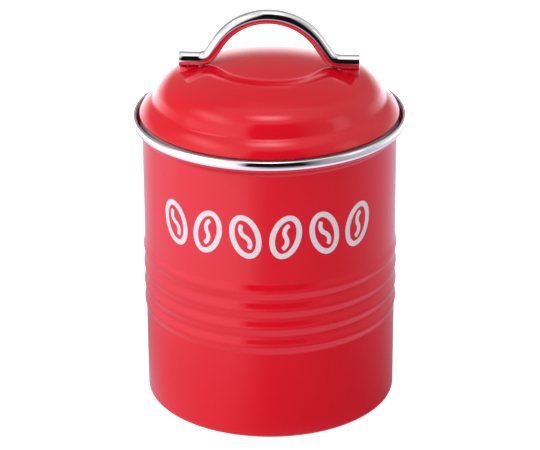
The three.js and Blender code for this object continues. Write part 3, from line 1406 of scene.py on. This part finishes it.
    def washer(self, name: str, x: float, lid: Lid) -> bpy.types.Object:
        """The silicone wedge under the dome, its upper face cut to the dome.

        Args:
            name: the piece's name.
            x: where it stands.
            lid: the lid.

        Returns:
            The piece.
        """
        low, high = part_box("screw_seal_left")
        wedge = rod(name, self.washer_radius, low.z, high.z + 2 * MM, x)
        ease_edges(wedge, self.washer_edge)
        cut(wedge, rod("drill", SCREW_HOLE_RADIUS, low.z - MM, high.z + 4 * MM, x))
        inner = lid.dome_radius - SHEET_THICKNESS - 2 * self.clearance
        cut(wedge, self.dome_tool(inner, lid.dome_centre), "INTERSECT")
        smooth(wedge)
        return wedge

    def screw(self, name: str, x: float) -> bpy.types.Object:
        """A pan-head screw, head down, with a cross recess.

        Args:
            name: the piece's name.
            x: where it stands.

        Returns:
            The piece.
        """
        low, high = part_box("handle_screw_left")
        seat = low.z + self.head_height
        crown = self.crown_share * self.head_height
        flat = self.flat_share

        def rounding(share: float) -> Point:
            """The head's rounded shoulder, from its flat face out to its side."""
            turn = share * math.pi / 2
            out = flat + (1 - flat) * math.sin(turn)
            return self.head_radius * out, low.z + crown * (1 - 0.9 * math.cos(turn))

        profile = Profile(name, (0.0, low.z))
        profile.line(rounding(0.0), 3)
        profile.follow(rounding, 8)
        profile.line((self.head_radius, seat))
        profile.line((self.screw_radius, seat))
        point = high.z - self.point_height
        for index in range(self.thread_turns):
            height = seat + (index + 1) * (point - seat) / (self.thread_turns + 1)
            profile.line((self.screw_radius, height))
            profile.line((self.thread_root * self.screw_radius, height + self.thread_rise))
        profile.line((self.screw_radius, point))
        profile.line((self.point_share * self.screw_radius, high.z))
        profile.line((0.0, high.z))
        screw = profile.spun(ROD_SIDES)
        moved(screw, Matrix.Translation((x, 0, 0)))
        for turn in (math.pi / 4, -math.pi / 4):
            blade = primitive("driver_blade", "cube", size=1.0)
            size = Matrix.Diagonal((*self.blade_size, 1.0))
            moved(blade, Matrix.Translation((x, 0, low.z)) @ Matrix.Rotation(turn, 4, "Z") @ size)
            cut(screw, blade)
        smooth(screw)
        return screw


# ---- Studio: floor, light, cards and camera ----


@dataclass(frozen=True)
class Card:
    """A soft-edged panel that only shows in reflections."""

    name: str
    place: tuple[float, float, float]
    size: tuple[float, float]
    glow: float
    softness: float = 0.35

    def hang(self, target: Vector) -> bpy.types.Object:
        """Puts the card up, facing the object.

        Args:
            target: the point that it faces.

        Returns:
            The card.
        """
        card = primitive(self.name, "plane", size=1.0)
        card.data.materials.append(self.material())
        aim = (target - Vector(self.place)).to_track_quat("Z", "Y").to_matrix().to_4x4()
        card.matrix_world = Matrix.Translation(self.place) @ aim @ Matrix.Diagonal((*self.size, 1.0, 1.0))
        hide_from(card, "camera", "diffuse", "shadow", "transmission")
        return card

    def material(self) -> bpy.types.Material:
        """A glow that fades out towards the card's edges."""
        material, graph, surface = blank_material(self.name)
        place = graph.place()
        parts = graph.parts(place)
        inner = 0.5 * (1 - self.softness)
        edges = [
            graph.span(graph.maths("ABSOLUTE", parts[axis]), inner, 0.5, 1.0, 0.0) for axis in (0, 1)
        ]
        shape = graph.maths("MULTIPLY", *edges)
        light = graph.add("ShaderNodeEmission", {"Strength": self.glow})
        clear = graph.add("ShaderNodeBsdfTransparent")
        mixed = graph.add("ShaderNodeMixShader", {0: shape, 1: clear.outputs[0], 2: light.outputs[0]})
        graph.feed(surface, mixed.outputs[0])
        return material


@dataclass(frozen=True)
class Surround:
    """What gloss and chrome show of the room, by the heading that they look along.

    A heading is in degrees, 0 towards the camera and positive to its right, with a brightness.
    Ranges are of the direction's upward part, from 0 along the floor to 1 straight up or down.
    """

    # Painted light and shade on the floor near the object, by heading: a painted pool of light to the left,
    # and painted shade in front and to the right where the object's shadow falls.
    painted_light_near_floor: tuple[Point, ...] = (
        (-180, 0.7), (-120, 0.75), (-90, 1.15), (-60, 1.35), (-30, 1.25), (-20, 1.05), (-8, 0.5),
        (0, 0.3), (55, 0.3), (90, 0.55), (135, 0.8), (180, 0.7),
    )
    horizon: tuple[Point, ...] = (
        (-180, 2.8), (-120, 1.7), (-60, 1.6), (-28, 1.3), (-18, 0.005), (27, 0.008), (45, 0.4),
        (90, 0.6), (140, 1.8), (180, 2.8),
    )
    upper: tuple[Point, ...] = (
        (-180, 0.43), (-120, 0.45), (-90, 0.9), (-60, 1.2), (-28, 1.2), (-18, 0.005), (27, 0.008),
        (45, 0.4), (85, 0.9), (125, 0.85), (155, 0.46), (180, 0.43),
    )
    floor_tint: Colour = (1.0, 0.96, 1.15, 1.0)
    steep_floor: float = 0.85
    ceiling: float = 1.0
    # A painted contact shadow darkens the floor reflection round the object's foot. It fades out between the
    # first two distances, and the share below is its darkness.
    contact: float = 70.0 * MM
    clear_of_contact: float = 230.0 * MM
    painted_contact_shadow_share: float = 0.45
    far: float = 700.0 * MM
    wall_range: tuple[float, float] = (0.0, 0.3)
    ceiling_range: tuple[float, float] = (0.81, 0.91)
    steep_range: tuple[float, float] = (0.5, 0.68)

    @staticmethod
    def heading(graph: Graph, parts: bpy.types.bpy_prop_collection, azimuth: float) -> Socket:
        """The heading as a share of the full turn, from 0 at -180 degrees to 1 at 180.

        Args:
            graph: the graph to add to.
            parts: the separated direction or place.
            azimuth: the camera's own turn.

        Returns:
            The share.
        """
        towards = graph.maths("MULTIPLY", parts["Y"], -1.0)
        angle = graph.maths("ARCTAN2", parts["X"], towards)
        share = graph.maths("MULTIPLY_ADD", angle, 1 / FULL_TURN, 0.5 - azimuth / FULL_TURN)
        return graph.maths("FRACT", share)

    @staticmethod
    def stops(headings: Sequence[Point]) -> list[Point]:
        """Headings in degrees as places from 0 to 1."""
        return [(0.5 + degrees / 360, bright) for degrees, bright in headings]

    def room(self, graph: Graph, azimuth: float) -> Socket:
        """The room above the horizon, for the world's graph.

        Args:
            graph: the world's graph.
            azimuth: the camera's own turn.

        Returns:
            The brightness.
        """
        direction = graph.add("ShaderNodeTexCoord").outputs["Generated"]
        parts = graph.parts(direction)
        heading = self.heading(graph, parts, azimuth)
        low = graph.ramp(heading, self.stops(self.horizon))
        high = graph.ramp(heading, self.stops(self.upper))
        lift = graph.span(parts["Z"], *self.wall_range, 0.0, 1.0)
        walls = graph.between(lift, low, high)
        overhead = graph.span(parts["Z"], *self.ceiling_range, 0.0, 1.0)
        return graph.between(overhead, walls, self.ceiling)

    def ground(self, graph: Graph, azimuth: float) -> Socket:
        """The floor, with painted light and shade near the object and a painted contact shadow round its
        foot, and like the horizon far away.

        Args:
            graph: the floor reflection's graph.
            azimuth: the camera's own turn.

        Returns:
            The brightness.
        """
        place = graph.place()
        parts = graph.parts(place)
        heading = self.heading(graph, parts, azimuth)
        length = graph.add("ShaderNodeVectorMath", {0: place}, operation="LENGTH").outputs["Value"]
        # Painted light and shade by heading, then a painted contact shadow round the foot.
        near = graph.ramp(heading, self.stops(self.painted_light_near_floor))
        shaded = graph.span(length, self.contact, self.clear_of_contact, self.painted_contact_shadow_share, 1.0)
        close = graph.maths("MULTIPLY", near, shaded)
        away = graph.ramp(heading, self.stops(self.horizon))
        distance = graph.span(length, self.clear_of_contact, self.far, 0.0, 1.0)
        flat = graph.between(distance, close, away)
        incoming = graph.add("ShaderNodeNewGeometry").outputs["Incoming"]
        slope = graph.parts(incoming)["Z"]
        steep = graph.span(slope, *self.steep_range, 0.0, 1.0)
        return graph.between(steep, flat, self.steep_floor)


@dataclass
class Studio:
    """A pale floor, soft light from all round, panels for the reflections, and the camera."""

    ambient: float = 1.0
    backdrop: float = 1.2
    floor_size: float = 12.0
    floor_white: float = 0.86
    floor_fill: float = 0.62
    key_place: tuple[float, float, float] = (-1.2, -0.95, 0.95)
    key_power: float = 17.0
    key_size: float = 1.2
    lens: float = 160.0
    stand_off: float = 920.54 * MM
    eye_height: float = 484.16 * MM
    azimuth: float = math.radians(4.2)
    pitch: float = 0.4203
    roll: float = -0.005
    surround: Surround = Surround()
    cards: tuple[Card, ...] = (
        Card("overhead_panel", (0.02, -0.2, 1.38), (0.75, 0.6), 4.8, 1.0),
        Card("high_left_panel", (-0.81, -0.22, 1.12), (1.3, 0.7), 2.3, 1.0),
        Card("left_panel", (-1.35, -0.6, 0.3), (1.2, 1.0), 1.2),
        Card("right_panel", (1.2, -0.2, 0.75), (0.5, 0.7), 1.2),
    )

    def build(self) -> None:
        """Sets the whole studio up."""
        middle = Vector((0, 0, (CAD_BOX[0].z + CAD_BOX[1].z) / 2))
        bpy.context.scene.view_settings.view_transform = "Standard"
        self.world()
        self.floor()
        self.floor_reflection()
        for card in self.cards:
            card.hang(middle)
        self.key(middle)
        self.camera()
        LOG.info("studio: %d panels", len(self.cards))

    def world(self) -> None:
        """White behind the object, even light on it, and the room in its reflections."""
        world = bpy.data.worlds.new("studio")
        world.use_nodes = True
        bpy.context.scene.world = world
        graph = Graph(world.node_tree)
        path = graph.add("ShaderNodeLightPath")
        glossy = path.outputs["Is Glossy Ray"]
        matt = graph.maths("MULTIPLY", graph.maths("SUBTRACT", 1.0, glossy), self.ambient)
        shiny = graph.maths("MULTIPLY", glossy, self.surround.room(graph, self.azimuth))
        seen = graph.maths("MULTIPLY", path.outputs["Is Camera Ray"], self.backdrop)
        strength = graph.maths("ADD", graph.maths("ADD", matt, shiny), seen)
        backdrop = graph.add("ShaderNodeBackground", {"Strength": strength})
        output = graph.add("ShaderNodeOutputWorld")
        graph.feed(output.inputs["Surface"], backdrop.outputs[0])

    def floor(self) -> None:
        """The pale floor that the camera sees and that light bounces off."""
        floor = primitive("floor", "plane", size=self.floor_size)
        material, graph, surface = blank_material("pale_floor")
        white = (self.floor_white, self.floor_white, self.floor_white, 1.0)
        matt = graph.add("ShaderNodeBsdfDiffuse", {"Color": white})
        path = graph.add("ShaderNodeLightPath")
        fill = graph.maths("MULTIPLY", path.outputs["Is Camera Ray"], self.floor_fill)
        light = graph.add("ShaderNodeEmission", {"Strength": fill})
        both = graph.add("ShaderNodeAddShader", {0: matt.outputs[0], 1: light.outputs[0]})
        graph.feed(surface, both.outputs[0])
        floor.data.materials.append(material)
        hide_from(floor, "glossy")

    def floor_reflection(self) -> None:
        """The floor as gloss and chrome show it, with painted light and shadow, hidden from everything else.
        """
        sheet = primitive("floor_reflection", "plane", size=self.floor_size, location=(0, 0, -MM))
        material, graph, surface = blank_material("floor_reflection")
        bright = self.surround.ground(graph, self.azimuth)
        light = graph.add("ShaderNodeEmission", {"Color": self.surround.floor_tint, "Strength": bright})
        graph.feed(surface, light.outputs[0])
        sheet.data.materials.append(material)
        hide_from(sheet, "camera", "diffuse", "shadow")

    def key(self, target: Vector) -> None:
        """The soft light from the left, which shows on matt surfaces only.

        Args:
            target: the point that it faces.
        """
        lamp = bpy.data.lights.new("key", "AREA")
        lamp.energy = self.key_power
        lamp.size = self.key_size
        key = bpy.data.objects.new("key", lamp)
        bpy.context.scene.collection.objects.link(key)
        key.location = self.key_place
        key.rotation_euler = (target - Vector(self.key_place)).to_track_quat("-Z", "Y").to_euler()
        hide_from(key, "camera", "glossy")

    def camera(self) -> None:
        """The camera, a long lens that looks a little down on the front."""
        lens = bpy.data.cameras.new("camera")
        lens.lens = self.lens
        camera = bpy.data.objects.new("camera", lens)
        bpy.context.scene.collection.objects.link(camera)
        camera.matrix_world = (
            Matrix.Rotation(self.azimuth, 4, "Z")
            @ Matrix.Translation((0, -self.stand_off, self.eye_height))
            @ Matrix.Rotation(math.pi / 2 - self.pitch, 4, "X")
            @ Matrix.Rotation(self.roll, 4, "Z")
        )
        bpy.context.scene.camera = camera


def main() -> None:
    """Builds the studio, then every sub-assembly in order."""
    logging.basicConfig(level=logging.INFO, format="%(name)s %(message)s")
    Studio().build()
    rack = FinishRack.mixed()
    canister = CanisterBody()
    wall = canister.build(rack)
    BeanPrint().build(rack, wall, canister.radius)
    handle = Handle()
    lid = Lid()
    lid.build(rack, [side.value * handle.screw_reach for side in Side])
    handle.build(rack, lid)


if __name__ == "__main__":
    main()
